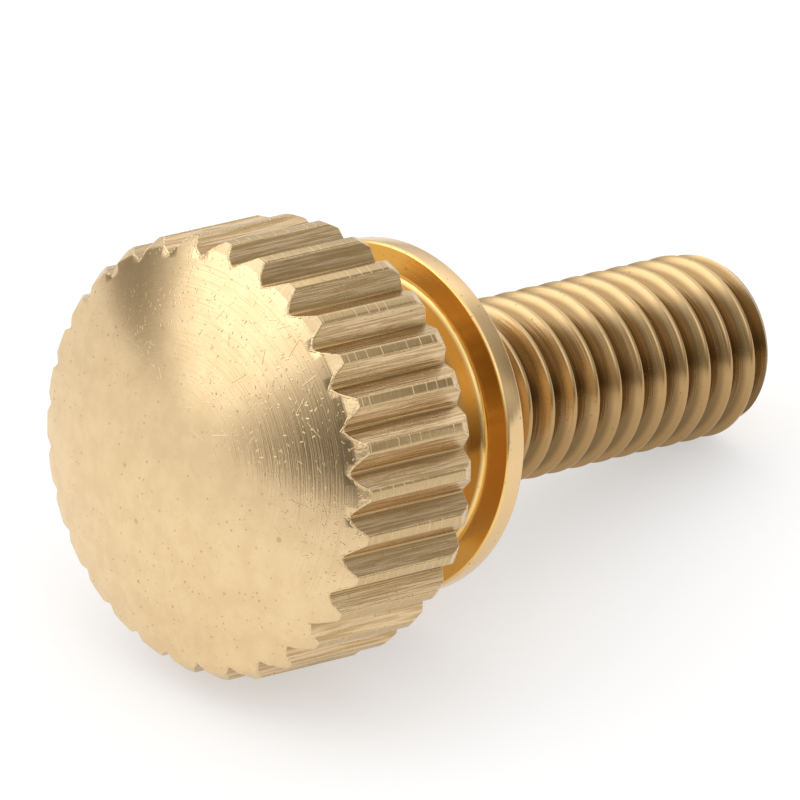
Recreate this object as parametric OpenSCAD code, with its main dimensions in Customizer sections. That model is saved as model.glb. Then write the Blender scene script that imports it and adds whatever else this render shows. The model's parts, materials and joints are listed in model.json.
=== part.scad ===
// Brass thumb screw, turned in one piece: a domed head with a coarse straight
// knurl, a plain neck, a thin collar that seats on the work, and an M6 shank.
// It lies as it comes to rest, on two knurl crests and the end of its thread.
// In the modules Z runs along the screw: the collar's seat is at 0, the head
// is below it and the tip above. Sizes are in millimetres.

/* [Head] */
// Diameter over the knurl's crests
head_d = 13.8; // [13.4:0.1:18]
// Length of the knurled rim, from its front edge to its back face
rim_l = 4.5; // [3:0.1:10]
// Rise of the domed crown above its own edge
crown_rise = 1.4; // [0.9:0.1:2.5]
// Length of the chamfer between crown and rim
front_chamfer_l = 0.4; // [0.2:0.05:0.8]
// Depth of the chamfer between crown and rim
front_chamfer_in = 0.28; // [0.16:0.02:0.4]
// Length of the chamfer at the back of the rim
back_chamfer_l = 0.42; // [0.2:0.02:0.8]
// Depth of the chamfer at the back of the rim
back_chamfer_in = 0.18; // [0.08:0.02:0.3]

/* [Knurl] */
// Number of grooves round the rim
groove_count = 30; // [20:2:36]
// Depth of each groove below the crests
groove_depth = 0.47; // [0.3:0.01:0.6]
// Width of the flat at the bottom of each groove
groove_root_w = 0.08; // [0.04:0.01:0.15]
// Width of the flat land left on each crest
land_w = 0.28; // [0.15:0.01:0.5]

/* [Neck and collar] */
// Diameter of the neck behind the head
neck_d = 9.1; // [7:0.1:10]
// Length of the neck between head and collar
neck_l = 2.85; // [1:0.05:6]
// Radius of the fillet in the corner between neck and collar
neck_fillet_r = 0.25; // [0.1:0.05:0.35]
// Diameter of the collar
collar_d = 11.1; // [10.8:0.1:11.6]
// Thickness of the collar
collar_t = 0.75; // [0.5:0.05:1.5]
// Width of the break on the collar's two edges
collar_break = 0.1; // [0.05:0.01:0.2]

/* [Shank and thread] */
// Length of the shank from the collar's seat to the tip
shank_l = 14; // [10:0.5:30]
// Diameter of the plain stretch of shank next to the collar
shank_d = 5.9; // [5.86:0.01:6]
// Length of the plain stretch, from the seat to the thread's run-out
plain_l = 1.5; // [1.2:0.1:3]
// Radius of the fillet in the corner between seat and shank
seat_fillet_r = 0.2; // [0.1:0.05:0.4]
// Diameter over the thread's crests
thread_d = 5.8; // [5.7:0.01:5.84]
// Pitch of the thread
thread_pitch = 1; // [0.75:0.25:1]
// Length of the chamfer at the tip
tip_chamfer_l = 0.55; // [0.3:0.05:0.8]
// Diameter of the flat end face
tip_d = 5.24; // [4.9:0.02:5.5]

/* [Hidden] */
$fn = 96;

head_r = head_d / 2;
neck_r = neck_d / 2;
collar_r = collar_d / 2;
shank_r = shank_d / 2;
thread_r = thread_d / 2;
tip_r = tip_d / 2;

// Stations along the screw, counted from the collar's seat
collar_front_z = -collar_t;
head_back_z = collar_front_z - neck_l;
land_back_z = head_back_z - back_chamfer_l;
rim_front_z = head_back_z - rim_l;
crown_edge_z = rim_front_z - front_chamfer_l;
apex_z = crown_edge_z - crown_rise;
tip_chamfer_z = shank_l - tip_chamfer_l;

// The crown is part of a sphere through its apex and its edge
crown_edge_r = head_r - front_chamfer_in;
crown_r = (pow(crown_edge_r, 2) + pow(crown_rise, 2)) / (2 * crown_rise);
crown_centre_z = apex_z + crown_r;
// The blank runs this far past the apex before the sphere trims it
blank_past = 0.5;
blank_steps = (front_chamfer_l + crown_rise + blank_past) / front_chamfer_l;

// One knurl groove, as it cuts the rim's circle
groove_bottom_r = head_r - groove_depth;
land_half_angle = asin(land_w / 2 / head_r);
groove_half_angle = 180 / groove_count - land_half_angle;
flank_reach = 1.4;

// Thread form: 60 degree flanks and a crest flat of an eighth of the pitch
thread_angle = 60;
crest_share = 1 / 8;
depth_share = 0.6134;
thread_depth = depth_share * thread_pitch;
root_r = thread_r - thread_depth;
flank_share = depth_share * tan(thread_angle / 2);
turn_steps = 40;
// The run-out cone falls from the plain stretch to the root over one pitch
runout_l = thread_pitch;
// How far the run-out cone goes on below the root, inside the thread
runout_below = 0.15;
// Distance from the last full crest to the tip's chamfer
crest_to_chamfer = 0.03;
last_crest_z = tip_chamfer_z - crest_to_chamfer;
// Room that cutting bodies leave round what they trim
spare = 1;

// At rest the screw leans on the inner edges of two lands and on its last crest
contact_r = head_r * cos(groove_half_angle);
lean = atan((contact_r - thread_r) / (last_crest_z - land_back_z));
lift = contact_r * cos(lean) + land_back_z * sin(lean);
crown_x = crown_centre_z * cos(lean) - crown_r;
tip_x = shank_l * cos(lean) + tip_r * sin(lean);

// Outline of the head's blank: sphere, front chamfer, rim and back chamfer
module head_profile() {
    intersection() {
        translate([0, crown_centre_z])
            circle(r = crown_r, $fn = 360);
        polygon([
            [0, rim_front_z - blank_steps * front_chamfer_l],
            [head_r - blank_steps * front_chamfer_in, rim_front_z - blank_steps * front_chamfer_l],
            [head_r, rim_front_z],
            [head_r, land_back_z],
            [head_r - back_chamfer_in, head_back_z],
            [0, head_back_z]
        ]);
    }
}

// Section of one groove, with its flanks carried past the crests
module groove_section() {
    corner_x = head_r * cos(groove_half_angle);
    corner_y = head_r * sin(groove_half_angle);
    outer_x = groove_bottom_r + flank_reach * (corner_x - groove_bottom_r);
    outer_y = groove_root_w / 2 + flank_reach * (corner_y - groove_root_w / 2);
    polygon([
        [groove_bottom_r, -groove_root_w / 2],
        [outer_x, -outer_y],
        [outer_x, outer_y],
        [groove_bottom_r, groove_root_w / 2]
    ]);
}

// Head blank with its straight knurl
module head() {
    difference() {
        rotate_extrude()
            head_profile();
        for (i = [0 : groove_count - 1])
            rotate([0, 0, i * 360 / groove_count])
                translate([0, 0, apex_z])
                    linear_extrude(height = head_back_z - apex_z + neck_l / 2)
                        groove_section();
    }
}

// A corner between a shaft of radius r and a face, filled with a concave arc
module corner_fill(r, fillet_r) {
    difference() {
        translate([r - fillet_r, 0])
            square([2 * fillet_r, fillet_r]);
        translate([r + fillet_r, fillet_r])
            circle(r = fillet_r, $fn = 64);
    }
}

// Neck, collar, plain shank and run-out cone in one turned outline
module body_profile() {
    runout_slope = runout_l / (shank_r - root_r);
    runout_end_z = plain_l + runout_l + runout_below * runout_slope;
    polygon([
        [0, head_back_z - spare],
        [neck_r, head_back_z - spare],
        [neck_r, collar_front_z],
        [collar_r - collar_break, collar_front_z],
        [collar_r, collar_front_z + collar_break],
        [collar_r, -collar_break],
        [collar_r - collar_break, 0],
        [shank_r, 0],
        [shank_r, plain_l],
        [root_r - runout_below, runout_end_z],
        [0, runout_end_z]
    ]);
    translate([0, collar_front_z])
        mirror([0, 1])
            corner_fill(neck_r, neck_fillet_r);
    corner_fill(shank_r, seat_fillet_r);
}

// One point of the thread's surface: column j of the form, step n of the helix
function thread_point(n, j) =
    let (
        a = 360 * n / turn_steps,
        r = (j == 0 || j == 1) ? thread_r : root_r,
        s = [-crest_share / 2, crest_share / 2, crest_share / 2 + flank_share, 1 - crest_share / 2 - flank_share][j]
    )
    [r * cos(a), r * sin(a), thread_pitch * (n / turn_steps + s)];

// A stretch of right-hand thread, closed by a cone at each end, with a crest
// that ends on the X axis at the height end_z after a whole number of turns
module thread_body(turns, end_z) {
    steps = turns * turn_steps;
    points = [
        for (n = [0 : steps]) for (j = [0 : 3]) thread_point(n, j),
        [0, 0, -2 * thread_pitch],
        [0, 0, (turns + 2) * thread_pitch]
    ];
    low = 4 * (steps + 1);
    high = low + 1;
    form = [
        for (n = [0 : steps - 1]) for (j = [0 : 2])
            [4 * n + j, 4 * n + j + 1, 4 * (n + 1) + j + 1],
        for (n = [0 : steps - 1]) for (j = [0 : 2])
            [4 * n + j, 4 * (n + 1) + j + 1, 4 * (n + 1) + j],
        for (n = [0 : steps - turn_steps - 1])
            [4 * n + 3, 4 * (n + turn_steps), 4 * (n + 1 + turn_steps)],
        for (n = [0 : steps - turn_steps - 1])
            [4 * n + 3, 4 * (n + 1 + turn_steps), 4 * (n + 1) + 3]
    ];
    low_rim = [
        for (n = [0 : turn_steps]) 4 * n,
        3, 2, 1
    ];
    high_rim = [
        for (n = [steps - turn_steps : steps]) 4 * n + 3,
        4 * steps + 2, 4 * steps + 1, 4 * steps
    ];
    cap = [
        for (i = [0 : len(low_rim) - 1])
            [low, low_rim[i], low_rim[(i + 1) % len(low_rim)]],
        for (i = [0 : len(high_rim) - 1])
            [high, high_rim[(i + 1) % len(high_rim)], high_rim[i]]
    ];
    translate([0, 0, end_z - (turns - 1 + crest_share / 2) * thread_pitch])
        polyhedron(points = points, faces = concat(form, cap), convexity = 10);
}

// What the tip's chamfer and end face leave of the thread
module tip_envelope() {
    chamfer_steps = 1 + spare / tip_chamfer_l;
    rotate_extrude()
        polygon([
            [0, plain_l / 2],
            [tip_r + chamfer_steps * (thread_r - tip_r), plain_l / 2],
            [tip_r + chamfer_steps * (thread_r - tip_r), tip_chamfer_z - spare],
            [tip_r, shank_l],
            [0, shank_l]
        ]);
}

module thumb_screw() {
    turns = ceil((shank_l - plain_l) / thread_pitch) + 2;
    color([0.80, 0.62, 0.30])
        translate([-(crown_x + tip_x) / 2, 0, lift])
            rotate([0, 90 + lean, 0]) {
                head();
                rotate_extrude()
                    body_profile();
                intersection() {
                    thread_body(turns, last_crest_z);
                    tip_envelope();
                }
            }
}

thumb_screw();
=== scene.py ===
# %% [markdown]
# # A brass thumb screw
#
# A thumb screw is a screw that fingers turn: a wide knurled head to grip, a neck,
# a thin collar that seats on the work, and a threaded shank. This one is turned
# from one brass bar. The CAD model gives its size and the place where it lies;
# here it gets a finely detailed surface, its brass, a floor and soft light.

# %% Load the frame
import json
from math import asin, atan2, ceil, cos, degrees, pi, radians, sin, sqrt, tan

import bmesh
import bpy
from mathutils import Matrix, Vector


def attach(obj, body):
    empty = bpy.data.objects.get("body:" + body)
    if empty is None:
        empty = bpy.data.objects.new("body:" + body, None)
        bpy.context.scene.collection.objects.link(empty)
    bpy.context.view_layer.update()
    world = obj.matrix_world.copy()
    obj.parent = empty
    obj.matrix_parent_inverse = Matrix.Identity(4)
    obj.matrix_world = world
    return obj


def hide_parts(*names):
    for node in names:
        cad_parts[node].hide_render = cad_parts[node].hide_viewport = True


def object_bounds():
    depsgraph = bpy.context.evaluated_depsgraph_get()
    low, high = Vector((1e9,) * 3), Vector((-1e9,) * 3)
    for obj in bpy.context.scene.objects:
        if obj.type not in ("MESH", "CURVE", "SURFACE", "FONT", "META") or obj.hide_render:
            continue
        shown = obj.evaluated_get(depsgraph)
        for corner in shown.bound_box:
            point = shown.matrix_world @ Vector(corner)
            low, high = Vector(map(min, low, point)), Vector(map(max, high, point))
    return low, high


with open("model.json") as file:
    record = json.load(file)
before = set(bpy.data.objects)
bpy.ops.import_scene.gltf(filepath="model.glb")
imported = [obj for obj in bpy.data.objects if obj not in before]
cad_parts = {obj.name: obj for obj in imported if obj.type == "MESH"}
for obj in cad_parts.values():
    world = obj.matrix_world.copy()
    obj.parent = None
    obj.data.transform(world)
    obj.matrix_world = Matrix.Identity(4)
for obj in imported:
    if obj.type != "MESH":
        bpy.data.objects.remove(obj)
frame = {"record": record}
cad_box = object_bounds()
print("CAD box in mm:", [[round(1000 * c, 2) for c in corner] for corner in cad_box])

# %% [markdown]
# ## Where the screw lies
#
# The collar's seat is the screw's natural reference: everything is measured from
# it along the axis. The record states it as a mount, with a place and a direction,
# so the visual model takes its place from there. The screw is modelled upright in
# millimetres, with the seat at the origin and the tip up, and laid down at the end.

# %% Read the seat and the axis
MM = 0.001
mounts = {mount["name"]: mount for mount in frame["record"]["mounts"]}
seat = Vector(mounts["collar_seat"]["pos_m"])
axis = Vector(mounts["collar_seat"]["axis"]).normalized()
lean = asin(-axis.z)
print("the axis leans by", round(degrees(lean), 2), "degrees")

# %% [markdown]
# ## The sizes
#
# These are the sizes of the real part, from head to tip, in millimetres. Each is
# written once, and the thread's depth follows from its pitch.

# %% Name the sizes
HEAD_R = 6.9
RIM_L = 4.5
CROWN_RISE = 1.4
FRONT_CHAMFER_L = 0.4
FRONT_CHAMFER_IN = 0.28
BACK_CHAMFER_L = 0.42
BACK_CHAMFER_IN = 0.18
GROOVES = 30
GROOVE_DEPTH = 0.47
GROOVE_ROOT_W = 0.08
LAND_W = 0.28
NECK_R = 4.55
NECK_L = 2.85
NECK_FILLET_R = 0.25
COLLAR_R = 5.55
COLLAR_T = 0.75
COLLAR_BREAK = 0.1
SHANK_L = 14.0
SHANK_R = 2.95
PLAIN_L = 1.5
SEAT_FILLET_R = 0.2
THREAD_R = 2.9
PITCH = 1.0
THREAD_DEPTH = 0.6134 * PITCH
TIP_CHAMFER_L = 0.55
TIP_R = 2.62
CREST_TO_CHAMFER = 0.03
print("mm across:", 2 * HEAD_R, "over the knurl and", 2 * THREAD_R, "over the thread")

# %% [markdown]
# ## The stations
#
# Every other height and radius follows from those sizes, so that whatever lies beyond
# a changed length moves with it. The dome is part of a sphere, whose radius follows
# from the dome's rise and the radius of its edge.

# %% Work out the stations
collar_front = -COLLAR_T
head_back = collar_front - NECK_L
land_back = head_back - BACK_CHAMFER_L
rim_front = head_back - RIM_L
crown_edge = rim_front - FRONT_CHAMFER_L
apex = crown_edge - CROWN_RISE
crown_edge_r = HEAD_R - FRONT_CHAMFER_IN
crown_r = (crown_edge_r**2 + CROWN_RISE**2) / (2 * CROWN_RISE)
crown_centre = apex + crown_r
root_r = THREAD_R - THREAD_DEPTH
tip_chamfer = SHANK_L - TIP_CHAMFER_L
print("length along the axis:", round(SHANK_L - apex, 2), "mm")

# %% [markdown]
# ## Working by hand, in code
#
# A turned part starts as an outline. By hand, one vertex is extruded along the
# profile, point by point, and the chain is then spun about the axis. These helpers
# do the same. An operator acts on whatever is selected, so a new outline starts with
# nothing selected, and a whole mesh is selected before it is welded.


# %% Helpers for drawing, welding and measuring
def deselect_all():
    """Leaves edit mode with nothing selected."""
    if bpy.context.object and bpy.context.object.mode == "EDIT":
        bpy.ops.object.mode_set(mode="OBJECT")
    for thing in bpy.context.selected_objects:
        thing.select_set(False)


def draw_outline(name, points):
    """Draws a chain of edges in the XZ plane by extruding one vertex from point to point."""
    deselect_all()
    bpy.ops.mesh.primitive_plane_add(size=1, location=(0, 0, 0))
    piece = bpy.context.object
    piece.name = name
    bpy.ops.object.mode_set(mode="EDIT")
    bpy.ops.mesh.select_mode(type="VERT")
    bpy.ops.mesh.select_all(action="SELECT")
    bpy.ops.mesh.merge(type="CENTER")
    last = (0.0, 0.0)
    for number, point in enumerate(points):
        step = (point[0] - last[0], 0, point[1] - last[1])
        if number == 0:
            bpy.ops.transform.translate(value=step)
        else:
            bpy.ops.mesh.extrude_region_move(TRANSFORM_OT_translate={"value": step})
        last = point
    return piece


def arc(centre, radius, start, end, steps):
    """Points along an arc, with its angles in degrees."""
    angles = [radians(start + (end - start) * i / steps) for i in range(steps + 1)]
    return [(centre[0] + radius * cos(a), centre[1] + radius * sin(a)) for a in angles]


def merge_doubles():
    """Welds vertices that lie on each other, and turns all faces outwards."""
    bpy.ops.mesh.select_all(action="SELECT")
    bpy.ops.mesh.remove_doubles(threshold=0.0001)
    bpy.ops.mesh.select_all(action="SELECT")
    bpy.ops.mesh.normals_make_consistent(inside=False)


def report(piece, what):
    """Prints how large a mesh is, and whether it is closed."""
    shape = bmesh.new()
    shape.from_mesh(piece.data)
    open_edges = sum(not edge.is_manifold for edge in shape.edges)
    volume = round(shape.calc_volume(), 1)
    print(what, "-", len(shape.faces), "faces,", volume, "mm3,", open_edges, "open edges")
    shape.free()


# %% [markdown]
# ## A slice of the turned blank
#
# The knurl repeats thirty times and each groove is symmetrical, so one slice from
# the middle of a groove to the middle of a land holds the whole form. The blank's
# closed outline is spun through that small angle. The stops are uneven: one lies
# where the land begins, and one close to where the groove will meet the crown's
# edge, so that the cut made next leaves no slivers. One more row halfway across the
# head's flat back and across the seat halves the long faces there.
# Past the plain stretch the outline runs in along a short cone, which ends just
# below the thread's root.

# %% Draw the outline and spin the slice
CROWN_ROWS = 18
FILLET_STEPS = 6
BACK_ROW_R = 5.6
SEAT_ROW_R = 4.2
RUNOUT_BELOW = 0.15
GROOVE_STOPS = (0, 0.62, 1.45, 2.27, 3.1, 3.95)  # degrees from the groove's middle
half_sector = pi / GROOVES
half_land = asin(LAND_W / 2 / HEAD_R)
half_groove = half_sector - half_land
crown_line = [CROWN_ROWS - i for i in range(CROWN_ROWS + 1)]
crown_radii = [crown_edge_r * (1 - i / CROWN_ROWS) for i in crown_line]
crown = [(r, crown_centre - sqrt(crown_r**2 - r**2)) for r in crown_radii]
runout_slope = PITCH / (SHANK_R - root_r)
runout_end = PLAIN_L + PITCH + RUNOUT_BELOW * runout_slope

blank_outline = crown
blank_outline += [(HEAD_R, rim_front), (HEAD_R, land_back), (HEAD_R - BACK_CHAMFER_IN, head_back)]
blank_outline += [(BACK_ROW_R, head_back), (NECK_R, head_back), (NECK_R, head_back + NECK_L / 2)]
neck_fillet_centre = (NECK_R + NECK_FILLET_R, collar_front - NECK_FILLET_R)
blank_outline += arc(neck_fillet_centre, NECK_FILLET_R, 180, 90, FILLET_STEPS)
front_break_centre = (COLLAR_R - COLLAR_BREAK, collar_front + COLLAR_BREAK)
blank_outline += arc(front_break_centre, COLLAR_BREAK, -90, 0, FILLET_STEPS)
rear_break_centre = (COLLAR_R - COLLAR_BREAK, -COLLAR_BREAK)
blank_outline += arc(rear_break_centre, COLLAR_BREAK, 0, 90, FILLET_STEPS)
blank_outline += [(SEAT_ROW_R, 0)]
seat_fillet_centre = (SHANK_R + SEAT_FILLET_R, SEAT_FILLET_R)
blank_outline += arc(seat_fillet_centre, SEAT_FILLET_R, -90, -180, FILLET_STEPS)
blank_outline += [(SHANK_R, PLAIN_L), (root_r - RUNOUT_BELOW, runout_end), (0, runout_end)]

screw = draw_outline("screw", blank_outline)
bpy.ops.mesh.select_all(action="SELECT")
bpy.ops.mesh.edge_face_add()
land_stops = [half_groove, half_groove + half_land / 2, half_sector]
stops = [radians(stop) for stop in GROOVE_STOPS] + land_stops
for here, there in zip(stops, stops[1:]):
    bpy.ops.mesh.spin(steps=1, angle=there - here, center=(0, 0, 0), axis=(0, 0, 1))
merge_doubles()
bpy.ops.object.mode_set(mode="OBJECT")
report(screw, "slice")

# %% [markdown]
# ## Cut the groove
#
# A knurling wheel presses a V into the rim. In a slice, half of that V is one flat
# cut, so a bisect along the groove's flank does it and closes the cut with a face.
# The two sides of the slice were only needed to keep it closed, and go. They are
# picked by where they are and how they are turned.


# %% Bisect the flank and open the sides
def clear_selection(mesh):
    """Deselects a mesh's vertices, edges and faces."""
    for parts in (mesh.vertices, mesh.edges, mesh.polygons):
        for part in parts:
            part.select = False


def pick_faces(piece, wanted):
    """Selects the faces for which wanted(centre, normal) holds, and counts them."""
    bpy.ops.object.mode_set(mode="OBJECT")
    clear_selection(piece.data)
    count = 0
    for face in piece.data.polygons:
        if wanted(face.center, face.normal):
            face.select = True
            count += 1
    bpy.ops.object.mode_set(mode="EDIT")
    bpy.ops.mesh.select_mode(type="FACE")
    return count


corner_x = HEAD_R * cos(half_groove)
corner_y = HEAD_R * sin(half_groove)
flank_slope = (corner_x - (HEAD_R - GROOVE_DEPTH)) / (corner_y - GROOVE_ROOT_W / 2)
root_x = HEAD_R - GROOVE_DEPTH - flank_slope * GROOVE_ROOT_W / 2

bpy.ops.object.mode_set(mode="EDIT")
bpy.ops.mesh.select_mode(type="FACE")
bpy.ops.mesh.select_all(action="SELECT")
bpy.ops.mesh.bisect(
    plane_co=(root_x, 0, 0),
    plane_no=Vector((1, flank_slope, 0)).normalized(),
    use_fill=True,
    clear_outer=True,
    threshold=0.0001,
)
far_side = Vector((-sin(half_sector), -cos(half_sector), 0))
sides = pick_faces(screw, lambda c, n: n.y > 0.9999 and abs(c.y) < 0.0001 or n.dot(far_side) > 0.9999)
bpy.ops.mesh.delete(type="FACE")
print("sides taken off the slice:", sides)

# %% [markdown]
# ## Copy the slice round
#
# A mirrored copy completes the slice to a whole groove with half a land on either
# side. Spun copies of that fill the circle, and all of them are welded into one skin.

# %% Mirror the slice and copy it round
bpy.ops.mesh.select_all(action="SELECT")
bpy.ops.mesh.duplicate()
bpy.ops.transform.resize(value=(1, -1, 1), center_override=(0, 0, 0))
bpy.ops.mesh.flip_normals()
merge_doubles()
bpy.ops.mesh.spin(
    steps=GROOVES,
    angle=2 * pi,
    dupli=True,
    use_auto_merge=False,
    center=(0, 0, 0),
    axis=(0, 0, 1),
)
merge_doubles()
bpy.ops.object.mode_set(mode="OBJECT")
report(screw, "knurled blank")

# %% [markdown]
# ## Soften the edges
#
# No edge on a real part is perfectly sharp, and the thin bright line along an edge
# is what makes metal read as metal. The groove's root gets a rounder bevel, as
# the wheel's tip leaves it, and every other edge of the head a very fine one.


# %% Bevel the roots, then the other edges of the head
def away(point):
    """Distance of a point from the axis."""
    return sqrt(point.x**2 + point.y**2)


def pick_edges(piece, wanted):
    """Selects the edges for which wanted(edge) holds, and counts them."""
    bpy.ops.object.mode_set(mode="OBJECT")
    clear_selection(piece.data)
    shape = bmesh.new()
    shape.from_mesh(piece.data)
    chosen = [edge.index for edge in shape.edges if wanted(edge)]
    shape.free()
    for index in chosen:
        piece.data.edges[index].select = True
    bpy.ops.object.mode_set(mode="EDIT")
    bpy.ops.mesh.select_mode(type="EDGE")
    return len(chosen)


SHARP = radians(22)
ROOT_BEVEL = 0.07
EDGE_BEVEL = 0.03
root_edges = pick_edges(
    screw,
    lambda edge: edge.is_manifold
    and edge.calc_face_angle() > SHARP
    and abs(edge.verts[0].co.z - edge.verts[1].co.z) > RIM_L / 2
    and all(abs(away(v.co) - root_x) < 0.01 for v in edge.verts),
)
bpy.ops.mesh.bevel(offset=ROOT_BEVEL, segments=3, profile=0.5, affect="EDGES", clamp_overlap=True)
rim_edges = pick_edges(
    screw,
    lambda edge: edge.is_manifold
    and edge.calc_face_angle() > SHARP
    and all(v.co.z < head_back + 0.01 and away(v.co) > COLLAR_R for v in edge.verts),
)
bpy.ops.mesh.bevel(offset=EDGE_BEVEL, segments=2, profile=0.5, affect="EDGES", clamp_overlap=False)
bpy.ops.object.mode_set(mode="OBJECT")
print(root_edges, "roots and", rim_edges, "other edges bevelled")
report(screw, "head and body")

# %% [markdown]
# ## One tooth of the thread
#
# A thread is one tooth form carried round and up the shank. Its crest is flat for an
# eighth of the pitch, and both flanks lean by 30 degrees. The outline of a single
# pitch, from the middle of one crest to the middle of the next, is drawn with the
# corners of crest and root slightly rounded.


# %% Draw one pitch
def rounded_corner(before, corner, after, radius, steps):
    """Points of the arc that rounds a corner of an outline."""
    corner = Vector(corner)
    back = (Vector(before) - corner).normalized()
    ahead = (Vector(after) - corner).normalized()
    half = back.angle(ahead) / 2
    centre = corner + (back + ahead).normalized() * radius / sin(half)
    first = corner + back * radius / tan(half) - centre
    last = corner + ahead * radius / tan(half) - centre
    start = degrees(atan2(first.y, first.x))
    sweep = (degrees(atan2(last.y, last.x)) - start + 180) % 360 - 180
    return arc(centre, radius, start, start + sweep, steps)


FLANK_ANGLE = radians(30)
CREST_ROUND = 0.09
ROOT_ROUND = 0.12
ROUND_STEPS = 4
crest_half = PITCH / 16
flank_run = THREAD_DEPTH * tan(FLANK_ANGLE)
tooth = [
    (THREAD_R, 0),
    (THREAD_R, crest_half),
    (root_r, crest_half + flank_run),
    (root_r, PITCH - crest_half - flank_run),
    (THREAD_R, PITCH - crest_half),
    (THREAD_R, PITCH),
]
rounds = [CREST_ROUND, ROOT_ROUND, ROOT_ROUND, CREST_ROUND]
tooth_outline = [tooth[0]]
for i, radius in enumerate(rounds):
    tooth_outline += rounded_corner(*tooth[i : i + 3], radius, ROUND_STEPS)
tooth_outline += [tooth[-1]]

thread = draw_outline("thread", tooth_outline)
bpy.ops.object.mode_set(mode="OBJECT")
print("outline of one pitch:", len(tooth_outline), "points")

# %% [markdown]
# ## Wind the thread
#
# A Screw modifier winds the outline and climbs one pitch a turn, for one turn more
# than is needed at either end. Turn by turn the ends of the outline meet, and merging
# doubles joins them into one helical skin.


# %% Wind the thread
def make_active(thing):
    """Selects one object alone."""
    deselect_all()
    thing.select_set(True)
    bpy.context.view_layer.objects.active = thing


TURN_STEPS = 96
turns = ceil((SHANK_L - PLAIN_L) / PITCH) + 2
winding = thread.modifiers.new("winding", "SCREW")
winding.axis = "Z"
winding.angle = 2 * pi
winding.screw_offset = PITCH
winding.iterations = turns
winding.steps = TURN_STEPS
winding.render_steps = TURN_STEPS
make_active(thread)
bpy.ops.object.modifier_apply(modifier="winding")
bpy.ops.object.mode_set(mode="EDIT")
merge_doubles()
print("turns wound:", turns)

# %% [markdown]
# ## Close the thread's ends
#
# The skin is still open at both ends. Each rim is pulled on by one pitch and merged
# to a point. The thread is then moved along the axis so that, on the side where its
# outline was drawn, a crest stops just short of the tip's chamfer.


# %% Close the ends and move the thread
middle = turns * PITCH / 2


def rim_of(low):
    """A test for the open edges of the thread's lower or upper end."""
    return lambda edge: edge.is_boundary and ((edge.verts[0].co.z + edge.verts[1].co.z) / 2 < middle) == low


for low in (True, False):
    pick_edges(thread, rim_of(low))
    beyond = -PITCH if low else PITCH
    bpy.ops.mesh.extrude_region_move(TRANSFORM_OT_translate={"value": (0, 0, beyond)})
    bpy.ops.mesh.merge(type="CENTER")
merge_doubles()
last_crest = tip_chamfer - CREST_TO_CHAMFER
bpy.ops.transform.translate(value=(0, 0, last_crest - crest_half - (turns - 1) * PITCH))
bpy.ops.object.mode_set(mode="OBJECT")
report(thread, "thread")

# %% [markdown]
# ## Trim the tip and join the thread
#
# On the lathe the bar's end was faced and chamfered before the thread was cut. A
# turned envelope, roomy but for that chamfer, gives the same tip once the thread is
# intersected with it. The thread is then joined to the body, where its first turns
# rise out of the short cone, as the run-out of a cut thread does.


# %% Intersect and unite
def combine(base, tool, operation):
    """Applies a Boolean modifier and removes the tool."""
    make_active(base)
    step = base.modifiers.new("step", "BOOLEAN")
    step.operation = operation
    step.object = tool
    step.solver = "MANIFOLD"
    bpy.ops.object.modifier_apply(modifier="step")
    bpy.data.objects.remove(tool)


ROOM = 1.0  # how far the chamfer's cone goes on past the chamfer
chamfer_slope = (THREAD_R - TIP_R) / TIP_CHAMFER_L
room_r = TIP_R + chamfer_slope * (TIP_CHAMFER_L + ROOM)
tip_outline = [(0, PLAIN_L / 2), (room_r, PLAIN_L / 2), (room_r, tip_chamfer - ROOM)]
tip_outline += [(TIP_R, SHANK_L), (0, SHANK_L)]
envelope = draw_outline("envelope", tip_outline)
bpy.ops.mesh.select_all(action="SELECT")
bpy.ops.mesh.spin(steps=2 * TURN_STEPS, angle=2 * pi, center=(0, 0, 0), axis=(0, 0, 1))
merge_doubles()
bpy.ops.object.mode_set(mode="OBJECT")
combine(thread, envelope, "INTERSECT")
combine(screw, thread, "UNION")
report(screw, "whole screw")

# %% [markdown]
# ## Lay it down
#
# The finished mesh is scaled to metres, turned onto its side and moved to the CAD
# model's place. The move is applied, so that the object itself stays at the origin,
# unturned, with its place in its mesh. Smooth shading stops at the sharp edges, and
# weighted normals keep the large faces flat beside the narrow bevels.

# %% Turn, move and smooth
SMOOTH_BELOW = radians(30)
make_active(screw)
screw.matrix_world = (
    Matrix.Translation(seat) @ Matrix.Rotation(pi / 2 + lean, 4, "Y") @ Matrix.Scale(MM, 4)
)
bpy.ops.object.transform_apply(location=True, rotation=True, scale=True)
bpy.ops.object.shade_smooth_by_angle(angle=SMOOTH_BELOW)
flatten = screw.modifiers.new("flat faces", "WEIGHTED_NORMAL")
flatten.keep_sharp = True
flatten.weight = 100
bpy.ops.object.modifier_apply(modifier="flat faces")
triangles = sum(len(face.vertices) - 2 for face in screw.data.polygons)
print("triangles:", triangles)
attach(screw, "root")
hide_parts("thumb_screw")

# %% [markdown]
# ## Shader maths as expressions
#
# A material is a graph of nodes, and its maths is easier to read as an expression.
# The small class below wraps a socket, so that adding or multiplying two values adds
# the Math node that does it. Any other node comes from one method, which sets the
# node's own settings first and then its inputs. A Mix node's sockets for numbers and
# for colours share their names, so the colour ones are told apart by their numbers.

# %% A socket that does arithmetic
MIX_FACTOR, MIX_LOW, MIX_HIGH, MIXED_COLOUR = 0, 6, 7, 2


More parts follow.
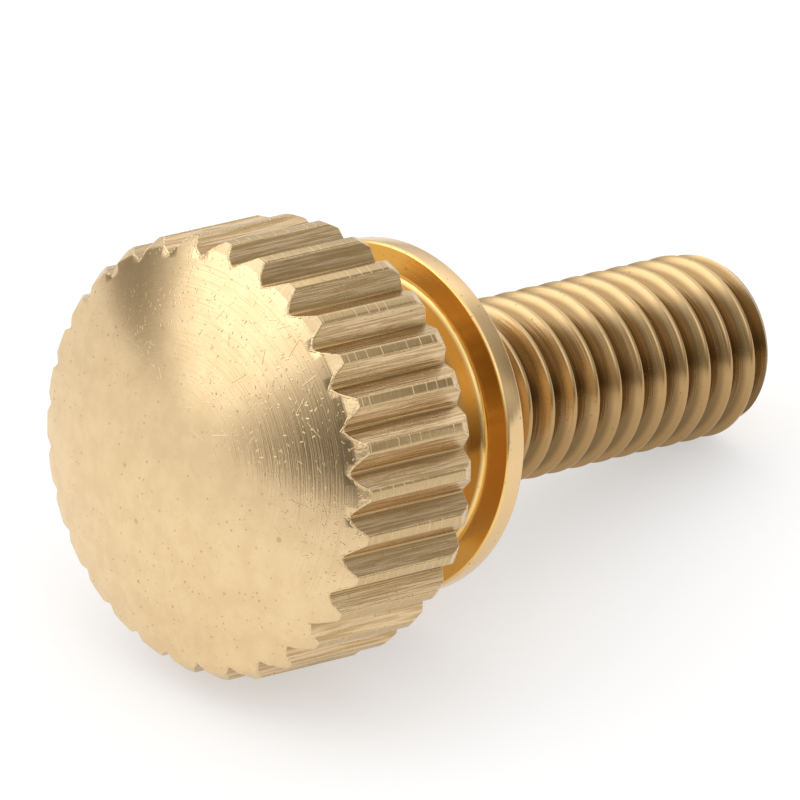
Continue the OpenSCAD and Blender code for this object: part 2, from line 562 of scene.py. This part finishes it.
class Value:
    """A socket's value in a node tree."""

    def __init__(self, tree, socket):
        self.tree = tree
        self.socket = socket

    def node(self, kind, settings=None, inputs=None, output=0):
        """Adds any node, with its settings and then its inputs, and returns one output."""
        made = self.tree.nodes.new(kind)
        for name, setting in (settings or {}).items():
            setattr(made, name, setting)
        for name, given in (inputs or {}).items():
            if isinstance(given, Value):
                self.tree.links.new(given.socket, made.inputs[name])
            else:
                made.inputs[name].default_value = given
        return Value(self.tree, made.outputs[output])

    def other(self, name):
        """Returns another output of the same node."""
        return Value(self.tree, self.socket.node.outputs[name])

    def split(self, kind, name):
        """Adds a node that takes this value apart, and returns all its outputs."""
        made = self.node(kind, None, {name: self}).socket.node
        return [Value(self.tree, output) for output in made.outputs]

    def maths(self, operation, *others, swap=False):
        """Adds a Math node on this value and one or two others."""
        given = list(reversed((self,) + others)) if swap else [self, *others]
        return self.node("ShaderNodeMath", {"operation": operation}, dict(enumerate(given)))

    def __add__(self, other):
        return self.maths("ADD", other)

    def __sub__(self, other):
        return self.maths("SUBTRACT", other)

    def __mul__(self, other):
        return self.maths("MULTIPLY", other)

    def __truediv__(self, other):
        return self.maths("DIVIDE", other)

    def __pow__(self, other):
        return self.maths("POWER", other)

    def __rsub__(self, other):
        return self.maths("SUBTRACT", other, swap=True)

    def __rtruediv__(self, other):
        return self.maths("DIVIDE", other, swap=True)

    __radd__ = __add__
    __rmul__ = __mul__

    def above(self, edge, softness):
        """Goes smoothly from 0 below an edge to 1 above it."""
        ends = {"From Min": edge - softness, "From Max": edge + softness}
        smooth = {"interpolation_type": "SMOOTHSTEP"}
        return self.node("ShaderNodeMapRange", smooth, {"Value": self, **ends})

    def below(self, edge, softness):
        """Goes smoothly from 1 below an edge to 0 above it."""
        return 1 - self.above(edge, softness)

    def tint(self, low, high):
        """Mixes two colours by this value, through the numbered colour sockets of a Mix node."""
        colours = {MIX_FACTOR: self, MIX_LOW: low, MIX_HIGH: high}
        return self.node("ShaderNodeMix", {"data_type": "RGBA"}, colours, MIXED_COLOUR)

    def feed(self, node, name):
        """Links this value to one input of a node."""
        self.tree.links.new(self.socket, node.inputs[name])


def coordinates(tree, kind):
    """Adds a Texture Coordinate node to a tree, and returns one of its outputs."""
    return Value(tree, tree.nodes.new("ShaderNodeTexCoord").outputs[kind])


def new_material(name):
    """Makes a material with its Principled shader, and returns both with its coordinates."""
    material = bpy.data.materials.new(name)
    material.use_nodes = True
    shader = material.node_tree.nodes["Principled BSDF"]
    return material, shader, coordinates(material.node_tree, "Object")


# %% [markdown]
# ## Coordinates that follow the screw
#
# Lathe marks run round the axis, so the finish needs coordinates that do as well. A
# Mapping node of type Texture takes the object's coordinates back to the upright
# screw in millimetres. From them come the distance from the axis, the height along
# it and the direction round it.

# %% Turn the coordinates back
brass, brass_shader, object_place = new_material("turned brass")
upright = object_place.node(
    "ShaderNodeMapping",
    {"vector_type": "TEXTURE"},
    {"Vector": object_place, "Location": seat, "Rotation": (0, pi / 2 + lean, 0), "Scale": (MM, MM, MM)},
)
across, sideways, height = upright.split("ShaderNodeSeparateXYZ", "Vector")
from_axis = (across * across + sideways * sideways) ** 0.5
around = sideways.maths("ARCTAN2", across)


def spot(x, y, z):
    """Joins three values or numbers into a vector."""
    return upright.node("ShaderNodeCombineXYZ", None, {0: x, 1: y, 2: z})


def noise(vector, scale=1.0, detail=2.0, roughness=0.5):
    """Fractal noise between 0 and 1 at a place."""
    inputs = {"Vector": vector, "Scale": scale, "Detail": detail, "Roughness": roughness}
    return upright.node("ShaderNodeTexNoise", None, inputs)


def count_nodes(step):
    """Prints how far the brass has grown."""
    print(step, "- the brass has", len(brass.node_tree.nodes), "nodes")


count_nodes("coordinates")

# %% [markdown]
# ## Where each kind of mark lies
#
# The blank was turned first and knurled afterwards, so a point of the head tells
# which tool touched it last by how deep it lies under the blank's old skin: on the
# skin the lathe's marks remain, below it the knurling wheel's. The depth is measured
# to the crown or front chamfer, to the rim and to the back chamfer.

# %% Depth under the blank's skin, and masks
front_slope = FRONT_CHAMFER_L / FRONT_CHAMFER_IN
back_slope = BACK_CHAMFER_L / BACK_CHAMFER_IN
crown_height = crown_centre - (crown_r**2 - from_axis * from_axis) ** 0.5
chamfer_height = crown_edge + (from_axis - crown_edge_r) * front_slope
behind_front = height - crown_height.maths("MAXIMUM", chamfer_height)
under_rim = HEAD_R - from_axis
ahead_of_back = land_back + under_rim * back_slope - height

on_head = height.below(head_back - 0.03, 0.01)
off_front = behind_front.above(0.045, 0.02)
off_rim = under_rim.above(0.04, 0.02)
off_back = ahead_of_back.above(0.05, 0.02)
pressed = on_head * off_front * off_rim * off_back
skin = on_head * (1 - pressed)
on_land = skin * height.above(rim_front, 0.01) * height.below(land_back, 0.01)
on_chamfer = skin * from_axis.above(crown_edge_r + 0.01, 0.01) * (1 - on_land)
on_crown = skin * from_axis.below(crown_edge_r + 0.01, 0.01)
on_thread = height.above(PLAIN_L + 0.3, 0.2) * height.below(SHANK_L - 0.02, 0.01)
on_body = height.above(head_back - 0.01, 0.01) * (1 - on_thread)
count_nodes("masks")

# %% [markdown]
# ## Lathe marks
#
# A turning tool leaves fine rings. They are noise that changes quickly outwards and
# along the axis, and hardly at all round it, so that each ring fades in and out as
# an arc. Polishing has taken most of them off the dome, so a wide soft mask leaves
# them strong on one side of it and faint on the other, and a slow noise makes them
# uneven, as a hand and a cloth do. They fade out near the axis, where the tool hardly
# cuts.

# %% Rings
ROUGH_SIDE = radians(222)
unpolished = (across * cos(ROUGH_SIDE) + sideways * sin(ROUGH_SIDE)).above(2.6, 2.0)
uneven = noise(spot(across, sideways, height), 0.55, 2.0)
ring_strength = (0.15 + 0.85 * unpolished) * (0.4 + 0.9 * uneven)
rings_wide = noise(spot(from_axis * 10.0, around * 0.7, height * 10.0), 1.0, 2.0, 0.6)
rings_fine = noise(spot(from_axis * 22.0, around * 1.8, height * 22.0), 1.0, 2.0, 0.7)
hairlines = rings_fine.above(0.57, 0.05)
rings = (rings_wide * 0.005 + rings_fine * 0.010) * ring_strength * from_axis.above(2.6, 1.8)
ring_relief = (on_crown + on_body * 0.35 + on_chamfer * 0.5) * rings
count_nodes("rings")

# %% [markdown]
# ## Nicks
#
# Loose screws rub against each other in a box, which leaves short straight nicks in
# all directions. Voronoi cells scatter them: each cell's own place is the middle of
# a nick, and its random colour turns the nick, sets its length and decides whether
# the cell has one at all. The short ones come in patches. Both kinds are fainter
# where the dome was polished, as the rings are.


# %% Scattered nicks
def nicks(density, length, width, share):
    """Short scratches on the crown, between 0 and 1, with sizes in millimetres."""
    flat = spot(across * density, sideways * density, 0.0)
    kind = {"voronoi_dimensions": "2D"}
    cell = upright.node("ShaderNodeTexVoronoi", kind, {"Vector": flat, "Scale": 1.0}, "Position")
    turn, size, luck = cell.other("Color").split("ShaderNodeSeparateColor", "Color")
    offset = upright.node("ShaderNodeVectorMath", {"operation": "SUBTRACT"}, {0: flat, 1: cell})
    spin = {"Vector": offset, "Angle": turn * (2 * pi)}
    turned = upright.node("ShaderNodeVectorRotate", {"rotation_type": "Z_AXIS"}, spin)
    along, aside, _ = turned.split("ShaderNodeSeparateXYZ", "Vector")
    half_width = width * density / 2
    half_length = size * (length * density / 2)
    narrow = aside.maths("ABSOLUTE").below(half_width, half_width)
    short = (half_length - along.maths("ABSOLUTE")).above(0.0, half_width * 2)
    return narrow * short * luck.below(share, 0.001)


rubbed = noise(spot(across, sideways, 0.0), 0.7, 1.0).above(0.45, 0.12)
short_nicks = nicks(5.5, 0.14, 0.022, 0.55)
long_nicks = nicks(1.3, 0.7, 0.018, 0.5)
nick_strength = on_crown * (0.3 + 0.7 * unpolished)
nick_relief = nick_strength * (rubbed * short_nicks * 0.005 + long_nicks * 0.003)
count_nodes("nicks")

# %% [markdown]
# ## Specks
#
# Tiny dark spots are dirt in pits of the brass. The same kind of cells scatter them,
# here as small balls in space that the surface cuts through, so that they look alike
# on every face of the screw.


# %% Scattered specks
def specks(density, radius, share):
    """Small round spots everywhere, between 0 and 1, with sizes in millimetres."""
    cell = upright.node("ShaderNodeTexVoronoi", None, {"Vector": upright, "Scale": density}, "Distance")
    size, luck, _ = cell.other("Color").split("ShaderNodeSeparateColor", "Color")
    return (size * radius - cell / density).above(0.0, radius * 0.35) * luck.below(share, 0.001)


fine_specks = specks(4.6, 0.045, 0.8)
large_specks = specks(1.3, 0.09, 0.5)
dirt = fine_specks * 0.45 + large_specks * 0.35
count_nodes("specks")

# %% [markdown]
# ## The grooves' flanks
#
# A knurling wheel is pressed in, so the grooves' flanks carry lines along the rim,
# copied from the wheel's own teeth. They are noise that changes quickly across the
# rim and slowly along it, once coarse and once fine, over a few soft dents.

# %% Flank lines
round_rim = around * HEAD_R
flank_lines = noise(spot(from_axis * 12.0, round_rim * 12.0, height * 0.30), 1.0, 2.0, 0.6)
flank_hairs = noise(spot(from_axis * 30.0, round_rim * 30.0, height * 0.9), 1.0, 2.0, 0.6)
flank_dents = noise(upright, 2.2, 2.0)
flank_relief = pressed * (flank_lines * 0.010 + flank_hairs * 0.008 + flank_dents * 0.004)
count_nodes("flanks")

# %% [markdown]
# ## The lands
#
# The lands between the grooves keep cross marks from the wheel's slip, where they
# were rubbed. The borders between the cells of a Voronoi line along the rim give
# marks at uneven distances, and each land's number shifts them, so that no two lands
# have the same.

# %% Cross marks
sector = around * (GROOVES / (2 * pi))
land_number = sector.maths("FLOOR")
rubbed_lands = noise(spot(height * 0.5, land_number, 3.0), 1.0, 1.0).above(0.48, 0.06)
mark_place = height * 2.0 + land_number * 7.31 + round_rim * 0.15
mark_cell = {"W": mark_place, "Scale": 1.0, "Randomness": 1.0}
mark_kind = {"voronoi_dimensions": "1D", "feature": "DISTANCE_TO_EDGE"}
mark_edges = upright.node("ShaderNodeTexVoronoi", mark_kind, mark_cell, "Distance")
cross_marks = mark_edges.below(0.035, 0.025) * rubbed_lands
land_grain = noise(spot(height * 26.0, round_rim * 3.0, land_number), 1.0, 2.0, 0.6)
land_relief = on_land * (cross_marks * 0.010 + land_grain * 0.004)
count_nodes("lands")

# %% [markdown]
# ## The scallops' lip
#
# Where a groove runs out through the front chamfer and the dome's edge, the pressed
# metal stands up as a fine lip. The distance to the nearest flank, worked out within
# one groove's sector, places it. A ragged noise widens it, narrows it and lets it
# come and go, and mottles the chamfer a little.

# %% The lip
from_middle = (sector - sector.maths("ROUND")).maths("ABSOLUTE") * (2 * pi / GROOVES)
outwards = from_axis * from_middle.maths("COSINE") - root_x
beside_middle = from_axis * from_middle.maths("SINE")
to_flank = (beside_middle * flank_slope - outwards) / sqrt(1 + flank_slope**2)
ragged = noise(upright, 9.0, 2.0, 0.6)
lip = to_flank.below(0.01 + 0.07 * ragged, 0.02) * ragged.above(0.47, 0.06)
lip_relief = (on_crown + on_chamfer) * lip * 0.012 + on_chamfer * ragged * 0.018
count_nodes("lip")

# %% [markdown]
# ## The thread
#
# The die leaves fine lines that climb with the thread. A coordinate that falls by one
# pitch for every turn stays constant along them.

# %% Thread lines
climb = height - around * (PITCH / (2 * pi))
thread_lines = noise(spot(from_axis * 12.0, climb * 12.0, around * 0.6), 1.0, 2.0, 0.6)
thread_relief = on_thread * thread_lines * 0.006
count_nodes("thread")

# %% [markdown]
# ## The relief
#
# Every relief above is a height in millimetres, of a few hundredths at most. That is
# too fine to model, so the heights are added up and feed one Bump node, which leaves
# the surface where it is and only changes the way that it seems to face.

# %% Bump
relief = ring_relief + nick_relief + flank_relief + land_relief + lip_relief + thread_relief
bump_inputs = {"Strength": 1.0, "Distance": MM, "Height": relief}
bump = upright.node("ShaderNodeBump", None, bump_inputs)
count_nodes("bump")

# %% [markdown]
# ## The head's colours
#
# Brass is one metal, but wear and dirt change its tone. The dome is pale gold with
# slow patches and browner along the finest rings. Its scallops' lip is paler, which is
# a painted highlight. The lands are browner, with pale marks where they were rubbed.
# The flanks have darker streaks, and the grooves' roots are darker with dirt and
# painted shade.

# %% Colour the head
PALE = (0.84, 0.63, 0.36, 1)
DEEP = (0.78, 0.57, 0.32, 1)
HAIR = (0.66, 0.45, 0.24, 1)
LAND = (0.58, 0.415, 0.21, 1)
# Pale rub marks on the lands, and the painted highlight on the scallops' lip.
MARK_AND_GLINT = (0.86, 0.65, 0.38, 1)
FLANK = (0.79, 0.59, 0.35, 1)
LINE = (0.54, 0.37, 0.18, 1)
# The grooves' roots: dirt, and painted shade deep in the groove.
ROOT_DIRT_AND_SHADE = (0.47, 0.31, 0.135, 1)

patches = noise(upright, 1.1, 3.0, 0.65)
ring_tint = hairlines * unpolished * from_axis.above(3.0, 1.6) * 0.45 * on_crown
crown_colour = ring_tint.tint(patches.above(0.5, 0.18).tint(PALE, DEEP), HAIR)
# The lip is painted paler: a painted highlight along the scallops' edge.
crown_colour = (lip * 0.7).tint(crown_colour, MARK_AND_GLINT)
land_streaks = land_grain.above(0.55, 0.12) * 0.35
land_colour = land_streaks.maths("MAXIMUM", cross_marks).tint(LAND, MARK_AND_GLINT)
flank_streaks = (flank_lines * 0.6 + flank_hairs * 0.4).above(0.5, 0.08)
# Darker roots, as dirt and painted shade together.
in_root = outwards.below(0.10, 0.09)
flank_colour = in_root.tint(flank_streaks.tint(LINE, FLANK), ROOT_DIRT_AND_SHADE)
head_colour = pressed.tint(on_land.tint(crown_colour, land_colour), flank_colour)
count_nodes("head colours")

# %% [markdown]
# ## The body's colours
#
# In the narrow gap behind the head, light goes from brass to brass and the gold looks
# deeper, bright on the collar's front and brown on the neck. The few bounces of a
# render fall short of that, so the colours there are painted deeper too. The thread's
# roots are dark brown, partly from oil and dust and partly as painted shade. Neck and
# crests are browner on the side turned down, which is painted shade.

# %% Colour the neck, the collar and the thread
BODY = (0.84, 0.59, 0.31, 1)
FRONT = (0.92, 0.63, 0.23, 1)
NECK = (0.52, 0.32, 0.12, 1)
# Painted shade: the neck is browner on its side turned down.
NECK_UNDERSIDE_SHADE = (0.42, 0.24, 0.09, 1)
CREST = (0.61, 0.42, 0.21, 1)
# Painted shade: the crests are browner on their side turned down.
CREST_UNDERSIDE_SHADE = (0.50, 0.32, 0.14, 1)
# The thread's roots: oil and dust, and painted shade.
THREAD_ROOT_OIL_AND_SHADE = (0.275, 0.178, 0.08, 1)

# The side turned down, which gets the painted shade below.
underside = across.above(-1.2, 0.8)
behind_head = height.above(head_back + 0.02, 0.01)
in_gap = behind_head * height.below(collar_front + 0.05, 0.03)
on_neck = from_axis.below(NECK_R + 0.04, 0.03)
gap_colour = on_neck.tint(FRONT, underside.tint(NECK, NECK_UNDERSIDE_SHADE))
body_colour = in_gap.tint(behind_head.tint(PALE, BODY), gap_colour)
in_thread = from_axis.below(THREAD_R - 0.2, 0.1)
thread_colour = in_thread.tint(underside.tint(CREST, CREST_UNDERSIDE_SHADE), THREAD_ROOT_OIL_AND_SHADE)
count_nodes("body colours")

# %% [markdown]
# ## The brass
#
# The colours meet in one, with the specks over all of them, and feed one metallic
# shader. How dull a surface is follows the tool that made it: the turned body is the
# smoothest, then come the dome and the thread, then the lands and the pressed flanks.
# Specks are duller still.

# %% Put the material on the screw
BROWN = (0.34, 0.21, 0.10, 1)
turned_colour = height.above(head_back - 0.01, 0.01).tint(head_colour, body_colour)
colour = dirt.tint(on_thread.tint(turned_colour, thread_colour), BROWN)
rough = 0.18 + pressed * 0.05 + on_land * 0.04 + patches * 0.04 - on_body * 0.06 + dirt * 0.2
colour.feed(brass_shader, "Base Color")
rough.feed(brass_shader, "Roughness")
bump.feed(brass_shader, "Normal")
brass_shader.inputs["Metallic"].default_value = 1.0
screw.data.materials.clear()
screw.data.materials.append(brass)
count_nodes("finished")

# %% [markdown]
# ## The floor
#
# The screw lies on a plain pale floor. The floor glows a little, which makes it white
# to the camera and keeps the shadow soft. The brass mirrors it dimmer than that, so
# that the underside isn't washed out, and a little brighter in two round pools, one
# before the dome and one beside the rim. Sizes here are in metres.

# %% Floor
FLOOR_R = 0.6
SEEN_GLOW = 0.48
MIRRORED_GLOW = 0.34
DOME_POOL = 0.10
RIM_POOL = 0.07
deselect_all()
bpy.ops.mesh.primitive_circle_add(vertices=96, radius=FLOOR_R, fill_type="NGON", location=(0, 0, 0))
floor = bpy.context.object
floor.name = "floor"
floor_paint, floor_shader, floor_place = new_material("white floor")
floor_shader.inputs["Base Color"].default_value = (0.55, 0.55, 0.55, 1)
floor_shader.inputs["Roughness"].default_value = 1.0
floor_shader.inputs["Specular IOR Level"].default_value = 0.0
seen = floor_place.node("ShaderNodeLightPath", output="Is Camera Ray")
mirrored = seen.other("Is Glossy Ray") + seen.other("Is Transmission Ray")
side_x, side_y, _ = floor_place.split("ShaderNodeSeparateXYZ", "Vector")
before_dome = ((side_x + 0.022) ** 2 + (side_y - 0.006) ** 2) ** 0.5
beside_rim = (side_x**2 + (side_y + 0.014) ** 2) ** 0.5
pools = DOME_POOL * before_dome.below(0.022, 0.012) + RIM_POOL * beside_rim.below(0.014, 0.008)
glow = seen * SEEN_GLOW + mirrored * (MIRRORED_GLOW + pools)
glow.feed(floor_shader, "Emission Color")
floor_shader.inputs["Emission Strength"].default_value = 1.0
floor.data.materials.append(floor_paint)
print("floor radius in mm:", round(1000 * floor.dimensions.x / 2))

# %% [markdown]
# ## The light
#
# Polished metal shows what is round it, so the light is a small studio painted on the
# sky. Its lights and cards are round soft panels, each placed by its direction and
# its size as seen from the screw.


# %% The sky and its panels
world = bpy.data.worlds.new("studio")
bpy.context.scene.world = world
world.use_nodes = True
sky = coordinates(world.node_tree, "Generated")
sky_x, sky_y, sky_z = sky.split("ShaderNodeSeparateXYZ", "Vector")


def facing(azimuth, elevation):
    """The cosine of the angle between a sky direction and a place given in degrees."""
    flat = cos(radians(elevation))
    x_part = sky_x * (cos(radians(azimuth)) * flat)
    y_part = sky_y * (sin(radians(azimuth)) * flat)
    return x_part + y_part + sky_z * sin(radians(elevation))


def panel(azimuth, elevation, radius, softness):
    """A round soft panel on the sky, with its place and size in degrees."""
    apart = facing(azimuth, elevation).maths("ARCCOSINE") * (180 / pi)
    return apart.below(radius, softness)


# %% [markdown]
# ## Lights and cards
#
# The walls are grey, paler behind the screw, and the ceiling is brighter. Seen from
# the camera, a large key light and a low strip stand on the left, a weaker light
# beside the camera and the weakest on the right. Dark cards between them give the
# brass its contrast. Dim parts of the sky are a little warmer, which deepens the gold
# that mirrors them.

# %% Light the studio
walls = 0.36 + 0.34 * facing(60, 0).above(0.3, 0.3)
ceiling = 0.75 * sky_z.above(0.45, 0.4)
key = panel(148, 32, 28, 9)
strip = 0.45 * panel(146, 4, 9, 5)
fill = 0.35 * panel(-106, 40, 14, 7)
low_fill = 0.2 * panel(-42, 9, 8, 5)
card_left = 1 - 0.68 * panel(-174, 13, 19, 9)
card_back = 1 - 0.62 * panel(113, 6, 15, 9)
card_right = 1 - 0.44 * panel(-20, 28, 20, 9)
card_front = 1 - 0.75 * panel(-134, 6, 6, 4)
card_high = 1 - 0.42 * panel(-172, 37, 13, 8)
lights = walls + ceiling + key + strip + fill + low_fill
cards = card_left * card_back * card_right * card_front * card_high
level = lights * cards
warmth = level.above(0.45, 0.35)
WARM = (1.0, 0.92, 0.79, 1)
WHITE = (1, 1, 1, 1)
sky_colour = warmth.tint(WARM, WHITE)
background = world.node_tree.nodes["Background"]
level.feed(background, "Strength")
sky_colour.feed(background, "Color")
print("the sky has", len(world.node_tree.nodes), "nodes")

# %% [markdown]
# ## The camera
#
# A long lens looks at the dome and one side of the knurl from above, from fairly far
# away, so that the screw's outlines stay almost parallel. Its aim is the middle of
# the CAD box, moved a little to the left and down to place the screw in the view.

# %% Camera
AZIMUTH = radians(-44.58)
ELEVATION = radians(31.05)
DISTANCE = 0.6962
ASIDE = -0.001321
ABOVE = -0.001469
LENS = 1018
middle_of_box = (cad_box[0] + cad_box[1]) / 2
forward = Vector((-sin(AZIMUTH) * cos(ELEVATION), cos(AZIMUTH) * cos(ELEVATION), -sin(ELEVATION)))
right = Vector((cos(AZIMUTH), sin(AZIMUTH), 0))
up = right.cross(forward)
aim = middle_of_box + right * ASIDE + up * ABOVE
camera_data = bpy.data.cameras.new("camera")
camera_data.lens = LENS
camera_data.sensor_width = 36
camera_data.clip_start = 0.05
camera_data.clip_end = 20
camera = bpy.data.objects.new("camera", camera_data)
bpy.context.scene.collection.objects.link(camera)
camera.location = aim - forward * DISTANCE
camera.rotation_euler = forward.to_track_quat("-Z", "Y").to_euler()
bpy.context.scene.camera = camera
view = bpy.context.scene.view_settings
view.view_transform = "Standard"
print("camera in mm:", [round(1000 * c) for c in camera.location])
